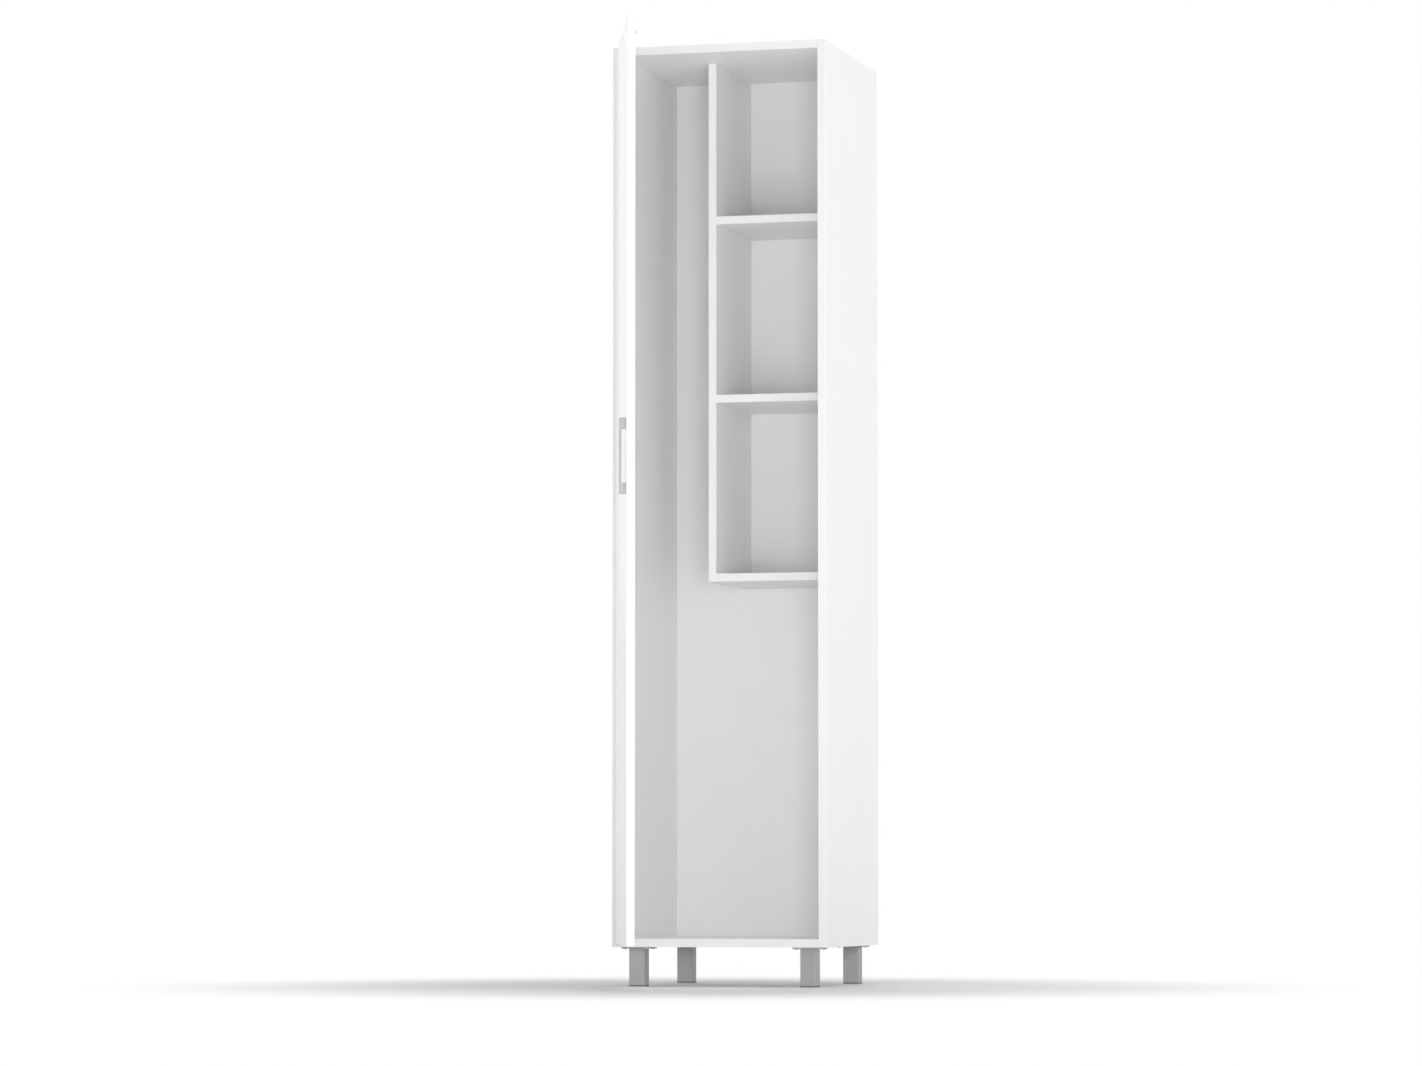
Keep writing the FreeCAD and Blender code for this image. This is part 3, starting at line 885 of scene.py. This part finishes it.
@dataclass
class Fittings(SubAssembly):
    """Cams, bolts, dowels and sunk screws that hold the boards."""

    cam_edge: float = 0.2 * MM
    head: Head = Head(Recess.HEXAGON, crown=0.2 * MM, reach=0.5, depth=2.0 * MM)
    zinc: Metal = Metal("cast_zinc", (0.52, 0.52, 0.53), Span(0.42, 0.6), Axis.X)
    steel: Metal = Metal("zinc_plated_steel", (0.66, 0.66, 0.67), Span(0.25, 0.38), Axis.X)
    wood: Beech = Beech("beech_dowel")

    def build(self) -> None:
        """Smooth the cams and sink the screws' sockets."""
        self.keep("cam_bolts", "dowels")
        self.place(SmoothCopy("cam_locks").soften(self.cam_edge))
        self.place(SmoothCopy("panel_screws").drive(self.head))

    def dress(self) -> None:
        """Give the fittings zinc, steel and beech."""
        self.wear(self.zinc, "cam_locks")
        self.wear(self.steel, "cam_bolts", "panel_screws")
        self.wear(self.wood, "dowels")


@dataclass
class Legs(SubAssembly):
    """Square steel legs with their plates, end caps and screws."""

    corners: tuple[str, ...] = ("front_left", "front_right", "back_left", "back_right")
    plate_edge: float = 0.4 * MM
    cap_edge: float = 0.5 * MM
    head: Head = Head(Recess.CROSS, crown=1.0 * MM, reach=0.45, depth=1.0 * MM)
    coat: Coat = Coat("grey_powder_coat", (0.42, 0.42, 0.425), Span(0.45, 0.6))
    plastic: Coat = Coat("dark_cap_plastic", (0.2, 0.2, 0.205), Span(0.5, 0.65))
    steel: Metal = Metal("leg_screw_steel", (0.62, 0.62, 0.63), Span(0.28, 0.4), Axis.Z)

    def build(self) -> None:
        """Smooth the legs and cross the screw heads."""
        for corner in self.corners:
            self.place(SmoothCopy("leg_" + corner))
            self.place(SmoothCopy("leg_plate_" + corner).soften(self.plate_edge))
        self.place(SmoothCopy("leg_caps").soften(self.cap_edge))
        self.place(SmoothCopy("leg_screws").drive(self.head))

    def dress(self) -> None:
        """Give the legs a grey coat, the caps plastic and the screws steel."""
        for corner in self.corners:
            self.wear(self.coat, "leg_" + corner, "leg_plate_" + corner)
        self.wear(self.plastic, "leg_caps")
        self.wear(self.steel, "leg_screws")


@dataclass
class Door(SubAssembly):
    """Door board with its bow handle, handle screws and soft bumpers."""

    lipping: float = 1.1 * MM
    handle_edge: float = 0.4 * MM
    bumper_crown: float = 0.6 * MM
    bumper_steps: int = 4
    head: Head = Head(Recess.CROSS, crown=1.2 * MM, reach=0.45, depth=1.4 * MM)
    silver: Metal = Metal("satin_silver", (0.45, 0.45, 0.455), Span(0.4, 0.52), Axis.Z, metallic=0.4)
    soft: Coat = Coat("soft_bumper", (0.62, 0.62, 0.6), Span(0.35, 0.5), pebbles=Cloud(300.0, 2.0))
    steel: Metal = Metal("handle_screw_steel", (0.66, 0.66, 0.67), Span(0.25, 0.38), Axis.Z)

    def build(self) -> None:
        """Keep the board and smooth what is fixed to it."""
        self.keep("door_panel")
        self.place(SmoothCopy("door_handle").soften(self.handle_edge))
        self.place(SmoothCopy("door_bumpers").soften(self.bumper_crown, self.bumper_steps))
        self.place(SmoothCopy("handle_screws").drive(self.head))

    def board_finish(self) -> Melamine:
        """Melamine with its seams along the four edges of the open door.

        Returns:
            The finish.
        """
        mesh = frame["nodes"]["door_panel"].data
        face = max(mesh.polygons, key=lambda polygon: polygon.area)
        turn = -math.atan2(face.normal.x, face.normal.y)
        points = [Matrix.Rotation(turn, 3, "Z") @ vert.co for vert in mesh.vertices]
        seams: list[Seam] = []
        for axis in (Axis.X, Axis.Z):
            places = [point[axis.value] for point in points]
            seams += [Seam(axis, min(places) + self.lipping), Seam(axis, max(places) - self.lipping)]
        return Melamine("white_melamine_door", tuple(seams), turn)

    def dress(self) -> None:
        """Give the board melamine, the handle silver, the bumpers soft plastic and the screws steel."""
        self.wear(self.board_finish(), "door_panel")
        self.wear(self.silver, "door_handle")
        self.wear(self.soft, "door_bumpers")
        self.wear(self.steel, "handle_screws")


@dataclass
class Hinges(SubAssembly):
    """Concealed hinges: plates, arms, links, cups, pins and screws."""

    count: int = 4
    pressings: tuple[str, ...] = ("plate", "arm", "inner_link", "outer_link", "cup")
    pins: tuple[str, ...] = ("hinge_arm_pins", "hinge_cup_pins")
    screws: tuple[str, ...] = ("hinge_plate_screws", "hinge_cup_screws", "hinge_adjusters")
    sheet_edge: float = 0.12 * MM
    pin_edge: float = 0.15 * MM
    head: Head = Head(Recess.CROSS, crown=0.6 * MM, reach=0.45, depth=0.9 * MM)
    nickel: Metal = Metal(
        "nickel_plate", (0.64, 0.635, 0.62), Span(0.24, 0.3), Axis.Y,
        marks=Cloud(2500.0, 3.0), mark_tone=0.96, relief=Relief(0.008, 0.1 * MM),
    )
    steel: Metal = Metal("hinge_screw_steel", (0.68, 0.68, 0.69), Span(0.22, 0.36), Axis.Z)

    def pressed(self) -> list[str]:
        """Names of the pressed pieces of every hinge."""
        numbers = range(1, self.count + 1)
        return [f"hinge_{part}_{number}" for number in numbers for part in self.pressings]

    def build(self) -> None:
        """Smooth the pressings and pins and cross the screw heads."""
        for node in self.pressed():
            self.place(SmoothCopy(node).soften(self.sheet_edge))
        for node in self.pins:
            self.place(SmoothCopy(node).soften(self.pin_edge))
        for node in self.screws:
            self.place(SmoothCopy(node).drive(self.head))

    def dress(self) -> None:
        """Give the hinges nickel and their screws steel."""
        self.wear(self.nickel, *self.pressed(), *self.pins)
        self.wear(self.steel, *self.screws)


@dataclass(frozen=True)
class Lamp:
    """Soft square lamp aimed at a point."""

    name: str
    place: Place
    aim: Place
    size: float
    power: float

    def build(self) -> None:
        """Add the lamp to the scene."""
        data = bpy.data.lights.new(self.name, "AREA")
        data.shape = "SQUARE"
        data.size = self.size
        data.energy = self.power
        lamp = bpy.data.objects.new(self.name, data)
        lamp.location = self.place
        direction = Vector(self.aim) - Vector(self.place)
        lamp.rotation_euler = direction.to_track_quat("-Z", "Y").to_euler()
        bpy.context.scene.collection.objects.link(lamp)


@dataclass(frozen=True)
class Studio:
    """White studio with a floor, a world and soft lamps, seen from the photograph's place."""

    world_light: float = 0.37
    floor_half: float = 30.0
    floor_finish: FloorPaper = FloorPaper("floor_paper", (0.95, 0.95, 0.95), Span(0.3, 1.3))
    lens_mm: float = 130.5
    sensor_mm: float = 36.0
    view_end: float = 200.0
    camera_place: Place = (2.61188, -9.6707, 0.20883)
    camera_pitch_deg: float = 93.84
    camera_yaw_deg: float = 15.22
    lamps: tuple[Lamp, ...] = (
        Lamp("key", (2.6, -1.4, 7.5), (0.0, 0.0, 0.8), 3.0, 88.0),
        Lamp("corner", (5.2, -5.6, 0.9), (0.0, 0.2, 1.0), 2.8, 46.0),
        Lamp("left", (-6.4, -3.6, 1.0), (0.0, 0.0, 1.0), 2.8, 107.0),
        Lamp("side", (7.4, 0.9, 1.0), (0.0, 0.2, 1.0), 2.8, 83.0),
        Lamp("rear", (-1.6, 6.8, 2.6), (0.0, 0.0, 0.8), 3.0, 115.0),
        Lamp("front", (1.6, -5.2, 0.5), (0.0, 0.2, 1.2), 1.0, 49.0),
        Lamp("low", (1.0, -2.9, 0.15), (0.0, 0.1, 1.6), 0.6, 11.5),
    )

    def build(self) -> None:
        """Add world, floor, lamps and camera."""
        self.make_world()
        self.make_floor()
        for lamp in self.lamps:
            lamp.build()
        self.make_camera()
        bpy.context.scene.view_settings.view_transform = "Standard"

    def make_world(self) -> None:
        """World that lights the object softly and looks white."""
        world = bpy.data.worlds.new("studio_world")
        world.use_nodes = True
        bpy.context.scene.world = world
        nodes, links = world.node_tree.nodes, world.node_tree.links
        light = nodes["Background"]
        light.inputs["Color"].default_value = FULL_WHITE
        light.inputs["Strength"].default_value = self.world_light
        white = nodes.new("ShaderNodeBackground")
        white.inputs["Color"].default_value = FULL_WHITE
        white.inputs["Strength"].default_value = 1.0
        path = nodes.new("ShaderNodeLightPath")
        seen = path.outputs["Is Camera Ray"]
        for ray in ("Is Glossy Ray", "Is Transmission Ray"):
            either = nodes.new("ShaderNodeMath")
            either.operation = "MAXIMUM"
            links.new(seen, either.inputs[0])
            links.new(path.outputs[ray], either.inputs[1])
            seen = either.outputs["Value"]
        mix = nodes.new("ShaderNodeMixShader")
        links.new(seen, mix.inputs["Fac"])
        links.new(light.outputs["Background"], mix.inputs[1])
        links.new(white.outputs["Background"], mix.inputs[2])
        links.new(mix.outputs["Shader"], nodes["World Output"].inputs["Surface"])

    def make_floor(self) -> None:
        """Pale floor that keeps the shadow and turns white further off."""
        bm = bmesh.new()
        bmesh.ops.create_grid(bm, x_segments=1, y_segments=1, size=self.floor_half)
        mesh = bpy.data.meshes.new("floor")
        bm.to_mesh(mesh)
        bm.free()
        mesh.materials.append(material_of(self.floor_finish))
        floor = bpy.data.objects.new("floor", mesh)
        bpy.context.scene.collection.objects.link(floor)

    def make_camera(self) -> None:
        """Camera at the photograph's place."""
        data = bpy.data.cameras.new("photo_camera")
        data.lens = self.lens_mm
        data.sensor_width = self.sensor_mm
        data.clip_end = self.view_end
        camera = bpy.data.objects.new("photo_camera", data)
        camera.location = self.camera_place
        pitch, yaw = math.radians(self.camera_pitch_deg), math.radians(self.camera_yaw_deg)
        camera.rotation_euler = (pitch, 0.0, yaw)
        bpy.context.scene.collection.objects.link(camera)
        bpy.context.scene.camera = camera


def main() -> None:
    """Shape, dress and light the cupboard, and report each piece."""
    logging.basicConfig(level=logging.INFO)
    for assembly in (Carcass(), Fittings(), Legs(), Door(), Hinges()):
        assembly.build()
        assembly.dress()
        for piece in assembly.pieces.values():
            finish, = piece.data.materials
            LOG.info("%s: %d faces in %s", piece.name, len(piece.data.polygons), finish.name)
    Studio().build()


if __name__ == "__main__":
    main()
